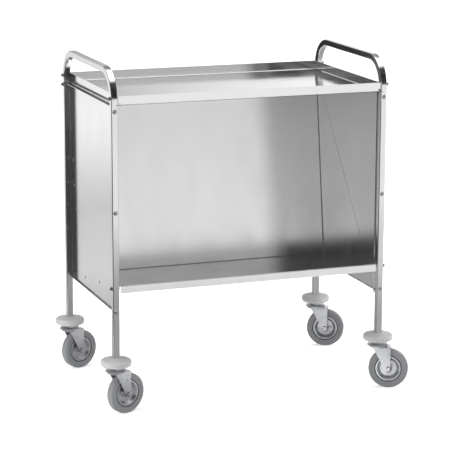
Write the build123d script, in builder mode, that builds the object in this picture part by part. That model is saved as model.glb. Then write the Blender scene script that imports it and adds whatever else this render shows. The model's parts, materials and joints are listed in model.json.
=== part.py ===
"""Stainless steel serving trolley, open at the front.

Two bent tube side frames carry a shallow tray, two flanged side panels and one folded sheet that
makes the back and the shelf, both leaning back. It rolls on four swivel casters under round bumpers.
X runs across, -Y is the open front, +Z is up, and the origin is on the floor, midway between the
four swivel axes. Millimetres.
"""

import os
from math import atan2, cos, sin, tan

from build123d import *

os.makedirs("parts", exist_ok=True)

# Driving dimensions of the whole trolley
legs_across = 860.0
legs_deep = 508.0
overall_height = 1050.0

# Square tube of the side frames
tube = 20.0
tube_wall = 1.2
tube_corner = 2.5
handle_bend = 85.0

# Stainless sheet
sheet = 1.0
fold = 2.0

# Tray on top
tray_below_top = 80.0
tray_depth = 28.0
tray_setback = 2.0
tray_notch_width = 9.0
tray_notch_height = 8.0

# Side panels, pans that open outwards
panel_below_tray = 2.0
panel_bottom = 311.0
panel_flange = 18.0
panel_foot_flange = 6.0

# Folded back and shelf
corner_above_panel_foot = 29.5
corner_ahead_of_legs = 90.0
back_flange = 14.0
back_top_return = 12.0
return_end_gap = 8.0
back_screw_drop = 6.0
lip_height = 23.0
lip_setback = 2.0
lip_end_gap = 4.0
back_rivet_shares = (0.205, 0.335, 0.463, 0.595, 0.755)
shelf_rivet_shares = (0.155, 0.517)

# Screws, nuts and rivets
screw_radius = 3.0
screw_clearance = 0.2
screw_head_radius = 5.25
panel_head_radius = 6.8
screw_head_height = 3.3
inner_head_height = 1.4
dome_top_share = 0.5
nut_flats = 10.0
nut_height = 5.0
cap_washer_radius = 6.2
cap_washer_height = 1.2
cap_hex_height = 3.8
cap_dome_radius = 4.7
cap_dome_height = 3.6
tray_screw_below_rim = 7.0
panel_screw_below_top = 15.0
panel_screw_above_foot = 10.0
rivet_radius = 2.0
rivet_clearance = 0.05
rivet_head_radius = 4.0
rivet_head_height = 1.5
rivet_tail_radius = 3.0
rivet_tail_height = 1.6

# Wheels
wheel_radius = 62.5
tyre_width = 26.0
rim_share = 0.64
rim_sheet = 2.0
rim_groove_depth = 13.0
hub_radius = 11.0
tyre_rim_gap = 0.1
tyre_step_share = 0.5
tyre_shoulder_share = 0.35
running_gap = 0.3
running_fit = 0.05

# Forks and their axles
trail = 35.0
crown_above_wheel = 6.0
crown_sheet = 3.0
crown_radius = 27.0
fork_sheet = 2.5
fork_side_gap = 3.0
fork_lead = 14.0
fork_end_radius = 9.0
fork_end_back = 7.5
axle_radius = 4.0
axle_head_flats = 13.0
axle_head_height = 5.3
axle_nut_height = 6.5
axle_end = 1.5
sleeve_radius = 7.0

# Swivel heads
pin_radius = 6.0
pin_head_radius = 9.0
pin_head_height = 6.0
race_inner = 20.0
race_outer = 27.0
race_height = 5.0
race_chamfer = 1.0
cup_wall = 3.0
brim_radius = 33.0
brim_height = 2.4
collar_radius = 18.0
collar_height = 10.2

# Bumpers
bumper_radius = 46.5
bumper_height = 25.0
bumper_rim = 21.0
bumper_flat_radius = 16.0
bumper_bevel = 5.0
bumper_bore_gap = 0.2

# Expanders that hold the casters in the legs
plug_gap = 0.1
plug_length = 45.0
plug_corner = 2.0
stem_end = 2.0
stem_nut_flats = 15.0
stem_nut_height = 6.0

# Directions in which the wheels trail at rest, from +X towards +Y
left_heading = 21.0
right_heading = -27.0

# One overrun for all cuts
overrun = 5.0

# Planes of the frame
leg_x = legs_across / 2
leg_y = legs_deep / 2
inner_x = leg_x - tube / 2
outer_x = leg_x + tube / 2
inner_y = leg_y - tube / 2
outer_y = leg_y + tube / 2

# Heights, stacked up from the floor through a caster, and down from the top
crown_foot = 2 * wheel_radius + crown_above_wheel
crown_top = crown_foot + crown_sheet
cup_ceiling = crown_top + race_height + running_gap
cup_top = cup_ceiling + cup_wall
bumper_foot = cup_top + collar_height
leg_foot = bumper_foot + bumper_height
plug_top = leg_foot + plug_length
tray_rim = overall_height - tray_below_top
tray_foot = tray_rim - tray_depth
panel_top = tray_foot - panel_below_tray

# The folded sheet: its corner, and a tilt that brings the back's flange onto the rear legs' middle
corner_y = leg_y - corner_ahead_of_legs
corner_z = panel_bottom + corner_above_panel_foot
back_screw_z = panel_top - back_screw_drop
back_screw_rise = back_screw_z - corner_z
tilt = atan2(leg_y - back_flange / 2 - corner_y, back_screw_rise)
lip_y = -outer_y + lip_setback + sheet / 2
back_length = (panel_top - corner_z) / cos(tilt)
shelf_length = (corner_y - lip_y) / cos(tilt)
shelf_screw_z = corner_z + (corner_y + leg_y) * tan(tilt) - back_flange / 2 / cos(tilt)

tray_screw_z = tray_rim - tray_screw_below_rim
panel_screw_low = panel_bottom + panel_screw_above_foot
panel_screw_high = panel_top - panel_screw_below_top
panel_screw_heights = (panel_screw_low, (panel_screw_low + panel_screw_high) / 2, panel_screw_high)
screw_hole = screw_radius + screw_clearance
rivet_hole = rivet_radius + rivet_clearance

SIDES = {"left": -1, "right": 1}
ENDS = {"front": -1, "rear": 1}


def along_back(distance, behind):
    """A point (y, z) of the back at a distance above the corner, so far behind the sheet."""
    return (
        corner_y + distance * sin(tilt) + behind * cos(tilt),
        corner_z + distance * cos(tilt) - behind * sin(tilt),
    )


def along_shelf(distance, below):
    """A point (y, z) of the shelf at a distance ahead of the corner, so far below the sheet."""
    return (
        corner_y - distance * cos(tilt) - below * sin(tilt),
        corner_z + distance * sin(tilt) - below * cos(tilt),
    )


def seen_from(side, points):
    """Points (y, z) as they lie on a plane that faces one side."""
    return [(side * y, z) for y, z in points]


rivet_points = [along_back(back_length * share, back_flange / 2) for share in back_rivet_shares]
rivet_points += [along_shelf(shelf_length * share, back_flange / 2) for share in shelf_rivet_shares]


def finish(piece, name):
    """Names a finished piece and writes its file."""
    piece.label = name
    export_step(piece, f"parts/{name}.step")


def facing(side, x):
    """A plane square to X at a place on one side, looking outwards, with Z up."""
    return Plane(origin=(side * x, 0, 0), x_dir=(0, side, 0), z_dir=(side, 0, 0))


def ending(end, y):
    """A plane square to Y at a place at one end, looking outwards, with Z up."""
    return Plane(origin=(0, end * y, 0), x_dir=(-end, 0, 0), z_dir=(0, end, 0))


def drill(plane, places, radius, depth):
    """Cuts round holes at places on a plane, to a depth below it and past its face."""
    with BuildSketch(plane) as holes:
        with Locations(*places):
            Circle(radius)
    extrude(holes.sketch, amount=depth + overrun, both=True, mode=Mode.SUBTRACT)


# Side frames: one bent tube each, two legs and a handle
for side_name, side in SIDES.items():
    with BuildPart() as side_frame:
        with BuildLine(Plane.YZ.offset(side * leg_x)):
            handle_z = overall_height - tube / 2
            FilletPolyline(
                (-leg_y, leg_foot),
                (-leg_y, handle_z),
                (leg_y, handle_z),
                (leg_y, leg_foot),
                radius=handle_bend,
            )
        with BuildSketch(Plane(origin=(side * leg_x, -leg_y, leg_foot))):
            RectangleRounded(tube, tube, tube_corner)
            inside = tube - 2 * tube_wall
            Rectangle(inside, inside, mode=Mode.SUBTRACT)
        sweep()
        across = [(side * end * leg_y, tray_screw_z) for end in ENDS.values()]
        across += [(-side * leg_y, shelf_screw_z), (side * leg_y, back_screw_z)]
        drill(facing(side, outer_x), across, screw_hole, tube)
        for end in ENDS.values():
            along = [(-end * side * leg_x, height) for height in panel_screw_heights]
            drill(ending(end, outer_y), along, screw_hole, tube)
    finish(side_frame.part, f"side_frame_{side_name}")

# Tray: a welded pan between the legs, its front wall notched at the lower corners
tray_half_depth = outer_y - tray_setback
with BuildPart() as top_tray:
    with BuildSketch(Plane.XY.offset(tray_foot)):
        Rectangle(2 * inner_x, 2 * tray_half_depth)
    extrude(amount=tray_depth)
    fillet(top_tray.edges().group_by(Axis.Z)[0], fold)
    offset(amount=-sheet, openings=top_tray.faces().sort_by(Axis.Z)[-1])
    with BuildSketch(ending(ENDS["front"], tray_half_depth)):
        with Locations((-inner_x, tray_foot), (inner_x, tray_foot)):
            Rectangle(2 * tray_notch_width, 2 * tray_notch_height)
    extrude(amount=-sheet, mode=Mode.SUBTRACT)
    for side in SIDES.values():
        places = [(end * leg_y, tray_screw_z) for end in ENDS.values()]
        drill(facing(side, inner_x), places, screw_hole, sheet)
finish(top_tray.part, "top_tray")

# Side panels: flanges on all four edges turn outwards, two against the legs and a narrow one below
panel_height = panel_top - panel_bottom
for side_name, side in SIDES.items():
    with BuildPart() as side_panel:
        with BuildSketch(facing(side, inner_x)):
            with Locations((0, panel_bottom + panel_height / 2)):
                Rectangle(2 * inner_y, panel_height)
        extrude(amount=panel_flange)
        fillet(side_panel.edges().group_by(Axis.X)[0 if side > 0 else -1], fold)
        open_face = side_panel.faces().sort_by(Axis.X)[-1 if side > 0 else 0]
        offset(amount=-sheet, openings=open_face)
        with BuildSketch(facing(side, inner_x + panel_foot_flange)):
            with Locations((0, panel_bottom)):
                Rectangle(2 * (inner_y - sheet), 2 * fold)
        extrude(amount=panel_flange, mode=Mode.SUBTRACT)
        drill(facing(side, inner_x + sheet), seen_from(side, rivet_points), rivet_hole, sheet)
        for end in ENDS.values():
            along = [(-end * side * leg_x, height) for height in panel_screw_heights]
            drill(ending(end, inner_y), along, screw_hole, sheet)
    finish(side_panel.part, f"side_panel_{side_name}")

# Back and shelf: one sheet folded square, its lip, top edge and side flanges turned down or back
with BuildPart() as back_and_shelf:
    with BuildSketch(Plane.YZ):
        with BuildLine():
            lip_top = along_shelf(shelf_length, 0)
            FilletPolyline(
                along_back(back_length, back_top_return),
                along_back(back_length, 0),
                (corner_y, corner_z),
                lip_top,
                (lip_y, lip_top[1] - lip_height),
                radius=fold,
            )
        trace(line_width=sheet)
    extrude(amount=inner_x, both=True)
    back_flange_points = [
        along_back(fold, 0),
        along_back(back_length, 0),
        along_back(back_length, back_flange),
        along_back(fold, back_flange),
    ]
    shelf_flange_points = [
        along_shelf(fold, 0),
        along_shelf(shelf_length - lip_end_gap, 0),
        along_shelf(shelf_length - lip_end_gap, back_flange),
        along_shelf(fold, back_flange),
    ]
    return_end_points = [
        along_back(back_length - sheet, fold),
        along_back(back_length + sheet, fold),
        along_back(back_length + sheet, back_flange + sheet),
        along_back(back_length - sheet, back_flange + sheet),
    ]
    for side in SIDES.values():
        with BuildSketch(facing(side, inner_x)):
            with BuildLine():
                Polyline(*seen_from(side, back_flange_points), close=True)
            make_face()
            with BuildLine():
                Polyline(*seen_from(side, shelf_flange_points), close=True)
            make_face()
        extrude(amount=-sheet)
        with BuildSketch(facing(side, inner_x)):
            with BuildLine():
                Polyline(*seen_from(side, return_end_points), close=True)
            make_face()
        extrude(amount=-return_end_gap, mode=Mode.SUBTRACT)
        with BuildSketch(ending(-1, outer_y)):
            with Locations((side * inner_x, lip_top[1] - lip_height)):
                Rectangle(2 * lip_end_gap, 2 * (lip_height - fold))
        extrude(amount=-lip_setback - sheet - overrun / 2, mode=Mode.SUBTRACT)
        drill(facing(side, inner_x), seen_from(side, rivet_points), rivet_hole, sheet)
        places = [(-side * leg_y, shelf_screw_z), (side * leg_y, back_screw_z)]
        drill(facing(side, inner_x), places, screw_hole, sheet)
finish(back_and_shelf.part, "back_and_shelf")


def headed_screw(plane, head_radius, head_height, length):
    """A screw with a low round head on a plane, its shank running in behind it."""
    with BuildSketch(plane) as shank:
        Circle(screw_radius)
    extrude(shank.sketch, amount=-length)
    domed(plane, head_radius, head_height)


def domed(plane, radius, height):
    """A low dome on a plane, as a ring that slopes up to a flat top."""
    with BuildSketch(Plane(origin=plane.origin, x_dir=plane.x_dir, z_dir=-plane.y_dir)) as half:
        with BuildLine():
            Polyline((0, 0), (radius, 0), (radius * dome_top_share, height), (0, height), close=True)
        make_face()
    revolve(half.sketch, axis=Axis(plane.origin, plane.z_dir))


def at(plane, place):
    """The same plane with its origin moved to a place on it."""
    return Plane(origin=plane.from_local_coords(place), x_dir=plane.x_dir, z_dir=plane.z_dir)


# Screws through the legs into the tray, the shelf and the back, their heads on the sheet inside
with BuildPart() as tray_screws:
    for side in SIDES.values():
        for end in ENDS.values():
            inward = facing(-side, -inner_x + sheet)
            place = (-side * end * leg_y, tray_screw_z)
            headed_screw(at(inward, place), screw_head_radius, inner_head_height, sheet + tube)
finish(tray_screws.part, "tray_screws")

with BuildPart() as shelf_screws:
    for side in SIDES.values():
        inward = facing(-side, -inner_x + sheet)
        place = (side * leg_y, shelf_screw_z)
        headed_screw(at(inward, place), screw_head_radius, inner_head_height, sheet + tube)
finish(shelf_screws.part, "shelf_screws")

with BuildPart() as back_screws:
    for side in SIDES.values():
        inward = facing(-side, -inner_x + sheet)
        place = (-side * leg_y, back_screw_z)
        headed_screw(at(inward, place), screw_head_radius, inner_head_height, sheet + tube)
finish(back_screws.part, "back_screws")

# Domed cap nuts on the outer faces of the legs
with BuildPart() as cap_nuts:
    for side in SIDES.values():
        outside = facing(side, outer_x)
        places = [(side * end * leg_y, tray_screw_z) for end in ENDS.values()]
        places += [(-side * leg_y, shelf_screw_z), (side * leg_y, back_screw_z)]
        with BuildSketch(outside):
            with Locations(*places):
                Circle(cap_washer_radius)
        extrude(amount=cap_washer_height)
        with BuildSketch(outside.offset(cap_washer_height)):
            with Locations(*places):
                RegularPolygon(nut_flats / 2, 6, major_radius=False)
        extrude(amount=cap_hex_height)
        hex_top = outside.offset(cap_washer_height + cap_hex_height)
        for place in places:
            domed(at(hex_top, place), cap_dome_radius, cap_dome_height)
finish(cap_nuts.part, "cap_nuts")

# Screws through the legs' front and rear faces into the panels' flanges, and their nuts
with BuildPart() as panel_screws:
    for side in SIDES.values():
        for end in ENDS.values():
            for height in panel_screw_heights:
                place = (-end * side * leg_x, height)
                outward = at(ending(end, outer_y), place)
                headed_screw(outward, panel_head_radius, screw_head_height, tube + sheet)
finish(panel_screws.part, "panel_screws")

with BuildPart() as panel_nuts:
    for side in SIDES.values():
        for end in ENDS.values():
            with BuildSketch(ending(end, inner_y - sheet)):
                with Locations(*[(-end * side * leg_x, height) for height in panel_screw_heights]):
                    RegularPolygon(nut_flats / 2, 6, major_radius=False)
            extrude(amount=-nut_height)
finish(panel_nuts.part, "panel_nuts")

# Blind rivets through each side panel into the flanges of the back and the shelf
with BuildPart() as rivets:
    for side in SIDES.values():
        for y, z in rivet_points:
            seat = at(facing(side, inner_x + sheet), (side * y, z))
            with BuildSketch(Plane(origin=seat.origin, x_dir=seat.x_dir, z_dir=-seat.y_dir)):
                with BuildLine():
                    Polyline(
                        (0, rivet_head_height),
                        (rivet_radius, rivet_head_height),
                        (rivet_head_radius, 0),
                        (rivet_radius, 0),
                        (rivet_radius, -2 * sheet),
                        (rivet_tail_radius, -2 * sheet),
                        (rivet_tail_radius, -2 * sheet - rivet_tail_height),
                        (0, -2 * sheet - rivet_tail_height),
                        close=True,
                    )
                make_face()
            revolve(axis=Axis(seat.origin, seat.z_dir))
finish(rivets.part, "rivets")

# A caster in its own place: the origin below the swivel axis, X along the trail, Y along the axle
fork_inner = tyre_width / 2 + fork_side_gap
fork_outer = fork_inner + fork_sheet
fork_back = trail + fork_end_back
fork_end_x = fork_back - fork_end_radius
axle_line = Axis((trail, 0, wheel_radius), (0, 1, 0))
axle_section = Plane(origin=(trail, 0, wheel_radius), x_dir=(0, 0, 1), z_dir=(-1, 0, 0))

# Pin: its head holds the fork up from below, its upper end is the stem in the leg
with BuildPart() as swivel_pin:
    with BuildSketch(Plane.XY.offset(crown_foot - running_gap)):
        Circle(pin_head_radius)
    extrude(amount=-pin_head_height)
    with BuildSketch(Plane.XY.offset(crown_foot - running_gap)):
        Circle(pin_radius)
    extrude(amount=plug_top + stem_nut_height + stem_end - crown_foot + running_gap)

# Head: a brimmed cup over the ball race, with a collar up to the bumper
brim_foot = cup_ceiling - brim_height
with BuildPart() as swivel_head:
    with BuildSketch(Plane.XZ):
        with BuildLine():
            Polyline(
                (pin_radius, cup_ceiling),
                (race_outer + running_gap, cup_ceiling),
                (race_outer + brim_height, brim_foot),
                (brim_radius, brim_foot),
                (brim_radius, brim_foot + brim_height),
                (brim_radius - brim_height, cup_top - sheet),
                (race_outer, cup_top),
                (collar_radius, cup_top),
                (collar_radius, bumper_foot),
                (pin_radius, bumper_foot),
                close=True,
            )
        make_face()
    revolve(axis=Axis.Z)

# Bumper: a domed disc of soft plastic between the head and the leg
dome_foot = bumper_foot + bumper_rim
with BuildPart() as bumper:
    with BuildSketch(Plane.XZ):
        with BuildLine():
            Polyline(
                (pin_radius + bumper_bore_gap, bumper_foot),
                (bumper_radius - bumper_bevel, bumper_foot),
                (bumper_radius, bumper_foot + bumper_bevel),
                (bumper_radius, dome_foot - bumper_bevel),
                (bumper_radius - bumper_bevel, dome_foot),
                (bumper_flat_radius, leg_foot),
                (pin_radius + bumper_bore_gap, leg_foot),
                close=True,
            )
        make_face()
    revolve(axis=Axis.Z)

# Ball race between the head and the fork's crown
with BuildPart() as ball_race:
    with BuildSketch(Plane.XY.offset(crown_top)):
        Circle(race_outer)
        Circle(race_inner, mode=Mode.SUBTRACT)
    extrude(amount=race_height)
    chamfer(ball_race.edges().group_by(Axis.Z)[-1], race_chamfer)

# Fork: a crown and two tapered legs pressed from one plate
with BuildPart() as fork:
    with BuildSketch(Plane.XY.offset(crown_foot)):
        with BuildLine():
            CenterArc((0, 0), crown_radius, 0, 360)
            Line((fork_back, -fork_outer), (fork_back, fork_outer))
        make_hull()
    extrude(amount=crown_sheet)
    with BuildSketch(Plane.XZ.offset(fork_inner)):
        with BuildLine():
            Line((-fork_lead, crown_foot), (fork_back, crown_foot))
            CenterArc((fork_end_x, wheel_radius), fork_end_radius, 0, 360)
        make_hull()
    extrude(amount=fork_sheet)
    with BuildSketch(Plane.XZ.offset(fork_outer)):
        with Locations((trail, wheel_radius)):
            Circle(axle_radius + running_fit)
    extrude(amount=-fork_sheet, mode=Mode.SUBTRACT)
    mirror(about=Plane.XZ)
    with BuildSketch(Plane.XY.offset(crown_top)):
        Circle(pin_radius + running_fit)
    extrude(amount=-crown_sheet, mode=Mode.SUBTRACT)

# Axle bolt, its nut, and the sleeve that it clamps between the fork's legs
with BuildPart() as axle_bolt:
    with BuildSketch(Plane.XZ.offset(fork_outer)):
        with Locations((trail, wheel_radius)):
            RegularPolygon(axle_head_flats / 2, 6, major_radius=False)
    extrude(amount=axle_head_height)
    with BuildSketch(Plane.XZ.offset(fork_outer)):
        with Locations((trail, wheel_radius)):
            Circle(axle_radius)
    extrude(amount=-2 * fork_outer - axle_nut_height - axle_end)

with BuildPart() as axle_nut:
    with BuildSketch(Plane.XZ.offset(-fork_outer)):
        with Locations((trail, wheel_radius)):
            RegularPolygon(axle_head_flats / 2, 6, major_radius=False)
            Circle(axle_radius + running_fit, mode=Mode.SUBTRACT)
    extrude(amount=-axle_nut_height)

with BuildPart() as axle_sleeve:
    with BuildSketch(Plane.XZ):
        with Locations((trail, wheel_radius)):
            Circle(sleeve_radius)
            Circle(axle_radius + running_fit, mode=Mode.SUBTRACT)
    extrude(amount=fork_inner, both=True)

# Hub tube that runs on the sleeve
with BuildPart() as wheel_hub:
    with BuildSketch(Plane.XZ):
        with Locations((trail, wheel_radius)):
            Circle(hub_radius)
            Circle(sleeve_radius + running_fit, mode=Mode.SUBTRACT)
    extrude(amount=fork_inner - running_gap, both=True)

# Rim: two pressed dishes back to back, each with a collar on the hub and a turned-out edge
rim_radius = wheel_radius * rim_share
groove_half = rim_sheet / 2
edge_half = tyre_width / 2 - rim_sheet - sheet
edge_start = rim_radius - 2 * rim_sheet
collar_end = tyre_width / 2 - rim_sheet
groove_radius = rim_radius - rim_groove_depth


def dish_points(way, edge):
    """The middle of one dish's wall in the axle's section, from the hub out to an edge."""
    return [
        (hub_radius + rim_sheet / 2, way * collar_end),
        (hub_radius + rim_sheet / 2, way * groove_half),
        (groove_radius, way * groove_half),
        (edge_start, way * edge_half),
        (edge, way * edge_half),
    ]


with BuildPart() as rim_dishes:
    with BuildSketch(axle_section):
        for way in (-1, 1):
            with BuildLine():
                Polyline(*dish_points(way, rim_radius))
            trace(line_width=rim_sheet)
    revolve(axis=axle_line)

# Tyre: solid rubber wedged between the dishes, with stepped sides and bevelled shoulders
tyre_edge = rim_radius + tyre_rim_gap
wall_step = rim_radius + (wheel_radius - rim_radius) * tyre_step_share
with BuildPart() as tyre:
    with BuildSketch(axle_section) as tyre_section:
        with BuildLine():
            Polyline(
                (groove_radius, 0),
                *dish_points(1, tyre_edge)[2:],
                (tyre_edge, tyre_width / 2 - sheet),
                (wall_step, tyre_width / 2 - sheet),
                (wall_step + sheet, tyre_width / 2),
                (wheel_radius, tyre_width / 2),
                (wheel_radius, 0),
            )
            mirror(about=Plane.XZ)
        make_face()
        shoulder = (wheel_radius - wall_step) * tyre_shoulder_share
        chamfer(tyre_section.vertices().group_by(Axis.X)[-1], shoulder)
        for way in (-1, 1):
            with BuildLine():
                Polyline(*dish_points(way, tyre_edge))
            trace(line_width=rim_sheet + 2 * tyre_rim_gap, mode=Mode.SUBTRACT)
    revolve(axis=axle_line)

# Expander plug in the leg's end, and the nut on the stem above it
plug_side = tube - 2 * tube_wall - 2 * plug_gap
with BuildPart() as leg_plug:
    with BuildSketch(Plane.XY.offset(leg_foot)):
        RectangleRounded(plug_side, plug_side, plug_corner)
        Circle(pin_radius + running_fit, mode=Mode.SUBTRACT)
    extrude(amount=plug_length)

with BuildPart() as stem_nut:
    with BuildSketch(Plane.XY.offset(plug_top)):
        RegularPolygon(stem_nut_flats / 2, 6, major_radius=False)
        Circle(pin_radius + running_fit, mode=Mode.SUBTRACT)
    extrude(amount=stem_nut_height)

CASTER_PIECES = {
    "swivel_pin": swivel_pin,
    "swivel_head": swivel_head,
    "bumper": bumper,
    "ball_race": ball_race,
    "fork": fork,
    "axle_bolt": axle_bolt,
    "axle_nut": axle_nut,
    "axle_sleeve": axle_sleeve,
    "wheel_hub": wheel_hub,
    "rim_dishes": rim_dishes,
    "tyre": tyre,
}
HEADINGS = {"left": left_heading, "right": right_heading}
plugs, nuts = [], []
for end_name, end in ENDS.items():
    for side_name, side in SIDES.items():
        foot = Location((side * leg_x, end * leg_y, 0))
        turned = Location((side * leg_x, end * leg_y, 0), (0, 0, HEADINGS[side_name]))
        for piece_name, piece in CASTER_PIECES.items():
            finish(piece.part.moved(turned), f"{piece_name}_{end_name}_{side_name}")
        plugs.append(leg_plug.part.moved(foot))
        nuts.append(stem_nut.part.moved(foot))

with BuildPart() as leg_plugs:
    add(plugs)
finish(leg_plugs.part, "leg_plugs")

with BuildPart() as stem_nuts:
    add(nuts)
finish(stem_nuts.part, "stem_nuts")
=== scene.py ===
"""Looks of a stainless steel serving trolley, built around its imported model.

Bent tube frames, a folded tray, panels and shelf, small fasteners and four swivel casters.
"""

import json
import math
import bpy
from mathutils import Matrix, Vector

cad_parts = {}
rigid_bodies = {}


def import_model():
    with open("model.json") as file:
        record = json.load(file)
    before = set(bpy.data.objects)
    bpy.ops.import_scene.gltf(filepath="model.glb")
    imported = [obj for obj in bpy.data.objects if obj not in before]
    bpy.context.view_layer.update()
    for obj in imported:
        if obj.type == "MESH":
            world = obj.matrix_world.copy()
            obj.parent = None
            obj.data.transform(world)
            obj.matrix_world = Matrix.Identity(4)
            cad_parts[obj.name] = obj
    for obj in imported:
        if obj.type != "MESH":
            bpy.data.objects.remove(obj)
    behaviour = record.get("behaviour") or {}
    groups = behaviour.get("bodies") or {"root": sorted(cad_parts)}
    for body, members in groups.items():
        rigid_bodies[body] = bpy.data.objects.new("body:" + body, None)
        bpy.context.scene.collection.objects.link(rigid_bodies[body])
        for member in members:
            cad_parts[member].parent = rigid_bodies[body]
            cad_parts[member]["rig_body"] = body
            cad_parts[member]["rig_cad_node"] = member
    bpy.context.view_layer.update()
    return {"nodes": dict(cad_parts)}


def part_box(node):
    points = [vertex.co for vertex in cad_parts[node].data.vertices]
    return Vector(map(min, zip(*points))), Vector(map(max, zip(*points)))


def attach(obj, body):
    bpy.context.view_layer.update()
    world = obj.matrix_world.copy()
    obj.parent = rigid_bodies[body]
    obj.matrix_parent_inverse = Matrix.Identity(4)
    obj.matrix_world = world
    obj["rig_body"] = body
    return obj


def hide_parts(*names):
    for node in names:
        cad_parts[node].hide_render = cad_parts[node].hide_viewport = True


bl_info = {
    "name": "Serving Trolley",
    "version": (1, 0, 0),
    "blender": (4, 5, 0),
    "location": "View3D > Sidebar > Trolley",
    "description": "Models and finishes a stainless steel serving trolley",
    "category": "Add Mesh",
}

import bmesh
import bpy
from mathutils import Matrix, Vector

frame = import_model()

MM = 0.001
FULL_TURN = 2 * math.pi
QUARTER_TURN = math.pi / 2
SIDES = {"left": -1, "right": 1}
ENDS = {"front": -1, "rear": 1}
CASTERS = [(end, side) for end in ENDS for side in SIDES]

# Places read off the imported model
frame_low, frame_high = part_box("side_frame_right")
tray_low, tray_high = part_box("top_tray")
panel_low, panel_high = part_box("side_panel_right")
TUBE = frame_high.x - frame_low.x
INNER_X, OUTER_X = frame_low.x, frame_high.x
LEG_X = (INNER_X + OUTER_X) / 2
OUTER_Y = frame_high.y
LEG_Y = OUTER_Y - TUBE / 2
LEG_FOOT, HANDLE_TOP = frame_low.z, frame_high.z

# Distances within which points are merged, lie on a plane, or stand at a place
MERGED, ON_PLANE, AT_PLACE = 0.000002, 1e-6, 1e-4

# An edge runs along an axis if its ends lie further apart on it than this
EDGE_RUN = 10 * MM

# Details of the folded sheets: the notches in the tray's front wall, the corners of tray and
# panels, the depth within which a face belongs to the tray's front, and the edges' rounding
TRAY_NOTCH_WIDTH, TRAY_NOTCH_HEIGHT = 9 * MM, 8 * MM
TRAY_CORNER, TRAY_FRONT = 1.6 * MM, 1.2 * MM
PANEL_CORNER = 0.8 * MM
FLANGE_FOLD = 2.6 * MM
SHEET_EDGE = 0.22 * MM

# Outlines of turned pieces, as (radius, height) in millimetres
WASHER = ((0, 0), (6.2, 0), (6.2, 1.2), (0, 1.2))
NUT_DOME = ((0, 4.6), (4.75, 4.6), (4.6, 6.2), (3.9, 7.5), (2.4, 8.3), (0, 8.6))
RIVET = (
    (0, 0.7), (0.9, 0.8), (1.2, 1.5), (2.4, 1.3), (3.5, 0.7), (4, 0.15), (4, 0),
    (2, 0), (2, -2), (3, -2.2), (2.9, -3.2), (1.4, -3.6), (0, -3.6),
)

# The nut's hexagon: width across flats, depth, height of its middle; the screws' shanks
NUT_FLATS, NUT_DEPTH, NUT_MIDDLE = 10 * MM, 3.8 * MM, 3.1 * MM
SHANK_RADIUS, SHANK_LENGTH, SOCKET_FLATS = 3 * MM, 20 * MM, 4 * MM

# The tyre's outline on one side of its middle plane, from its foot between the rim's dishes
# out to the tread, as (radius, height) in millimetres
TYRE_BORE = ((29.2, 1), (36.4, 8.4), (39.6, 8.7), (40.2, 5.6), (41.4, 5.6))
TYRE_FACE = ((43.4, 12), (50.6, 12), (51.6, 12.8), (52.6, 13))
TYRE_HALF_WIDTH = 13 * MM

# Domes of the screw heads: (radius in millimetres, share of the head's height)
ROUND_DOME = ((1.9, 1), (3.3, 0.88), (4.3, 0.61), (4.8, 0.33), (6.6, 0.21), (6.8, 0.12))
FLAT_DOME = ((4.2, 1), (4.8, 0.85), (5.1, 0.6), (5.25, 0.25))
ROUND_HEAD_HEIGHT, FLAT_HEAD_HEIGHT = 3.3 * MM, 1.4 * MM

# What the steel reflects ahead and behind: (degrees above the horizon, tone)
FRONT_LIGHT = (
    (-90, 1.1), (-8, 1.05), (3, 1.0), (7.4, 0.85), (8.9, 0.35), (10.5, 0.6),
    (13, 0.85), (16, 0.5), (22, 0.08), (56, 0.06), (67, 2.2),
)
REAR_LIGHT = (
    (-90, 1.15), (-14.5, 1.15), (-12.2, 0.6), (-9.5, 1.2), (-6, 0.7), (5, 0.4),
    (7.4, 0.25), (8.8, 0.5), (17, 0.4), (26, 0.3), (50, 0.3), (62, 2.2),
)

# Bright and dark patches in those reflections: direction, the cosines at which each
# begins and is full, and its tone
PATCHES = (
    ((0.56, 0.8, 0.22), 0.94, 0.975, 1.1),
    ((-1, 0, -0.1), 0.45, 0.7, 0.08),
    ((-0.02, 0.91, 0.405), 0.98, 0.993, 1.2),
    ((-0.337, 0.916, 0.218), 0.975, 0.99, 0.1),
    ((-0.32, -0.88, 0.34), 0.95, 0.985, 0.04),
    ((-0.334, -0.917, -0.218), 0.972, 0.99, 0.02),
)

# Cards that only reflections see: name, width, depth, centre, turn about X in degrees, cloth
CARDS = (
    ("floor_card", 3, 5, (0.2, 0, 0.5 * MM), 0, "grey"),
    ("front_floor_flag", 2.6, 4, (-1.8, -2.7, 1 * MM), 0, "black"),
    ("left_handle_flag", 0.4, 0.3, (-0.42, -0.56, 1.112), 90, "black"),
    ("right_handle_flag", 0.3, 0.3, (0.66, -0.56, 1.12), 90, "black"),
    ("left_rear_card", 0.6, 0.15, (-0.75, 1, 0.93), 90, "grey"),
    ("rear_handle_flag", 0.6, 0.3, (0, 1, 0.86), 90, "black"),
)

# The grey cloth's tones paint the floor that the steel reflects, as painted reflection: darker in a
# wide ring about the trolley, and brightest about its middle, a painted bright patch that the
# casters reflect. Below: how its place is stretched and shifted, and its tones from outside (0) to
# the middle (1)
GREY_CLOTH_STRETCH, GREY_CLOTH_SHIFT = (0.7, 0.42, 1), (-0.105, 0.084, 0)
GREY_CLOTH_TONES = ((0.0, 0.56), (0.35, 0.27), (0.775, 0.24), (0.83, 0.95))

FLOOR_SIZE = 60
SOFTBOX_PLACES = {"left_softbox": (-2.6, -0.6, 0.9), "right_softbox": (2.6, -0.6, 0.9)}
SOFTBOX_AIM, SOFTBOX_SIZE, SOFTBOX_POWER = (0, 0, 0.1), 1.2, 60
DAYLIGHT_STRENGTH, DAYLIGHT_SPREAD = 1.2, 80

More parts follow.
